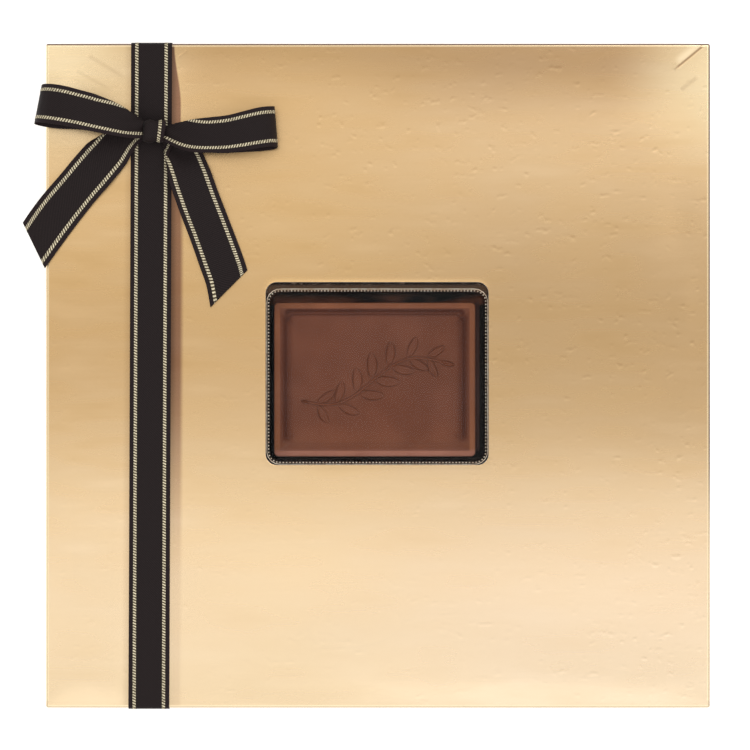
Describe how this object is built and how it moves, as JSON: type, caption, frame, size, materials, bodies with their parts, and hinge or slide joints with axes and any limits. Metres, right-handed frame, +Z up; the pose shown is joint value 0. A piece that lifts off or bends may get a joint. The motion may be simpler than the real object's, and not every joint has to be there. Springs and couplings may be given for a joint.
{
  "type": "chocolate box",
  "caption": "Low square two-piece folded carton with a windowed lid, ribbon band and bow, holding a formed tray of moulded chocolates round a framed slab.",
  "frame": {"origin": "middle of the underside of the base carton, on the surface it rests on", "axes": "+Z up, +X to the right and +Y to the back as the lid is read, with the ribbon to the left and the bow at the back left"},
  "size_m": [0.2696, 0.261, 0.048],
  "materials": {
    "foil_board": "gold foil laminate, satin, faintly brushed",
    "base_board": "gold foil laminate outside, plain board inside",
    "clear_film": "clear, glossy",
    "tray_plastic": "near-black brown, glossy, formed sheet",
    "milk_chocolate": "tempered milk chocolate, soft sheen",
    "dark_chocolate": "tempered dark chocolate, soft sheen",
    "white_chocolate": "white chocolate, soft sheen",
    "nut": "roasted nut, dull",
    "ribbon": "black satin weave with a gold thread stripe near each edge",
    "glue": "hot-melt glue"
  },
  "bodies": {
    "base": {"base_carton": "base_board"},
    "tray": {"candy_tray": "tray_plastic", "centre_bar": "milk_chocolate", "domed_truffles": "dark_chocolate", "bevelled_squares": "milk_chocolate", "fluted_cups": "dark_chocolate", "hazelnuts": "nut", "ribbed_logs": "dark_chocolate", "octagon_creams": "white_chocolate", "stepped_squares": "milk_chocolate", "oval_pralines": "milk_chocolate", "oval_drizzle": "white_chocolate", "faceted_squares": "dark_chocolate"},
    "lid": {"lid_carton": "foil_board", "window_film": "clear_film", "ribbon_band": "ribbon", "bow_glue_dot": "glue", "bow_knot": "ribbon", "bow_left_loop": "ribbon", "bow_right_loop": "ribbon", "bow_left_tail": "ribbon", "bow_right_tail": "ribbon"}
  },
  "joints": [
    {"name": "tray_lift", "type": "slide", "parent": "base", "child": "tray", "axis": [0, 0, 1], "range_m": [0, 0.06]},
    {"name": "lid_lift", "type": "slide", "parent": "tray", "child": "lid", "axis": [0, 0, 1], "range_m": [0, 0.06]}
  ]
}
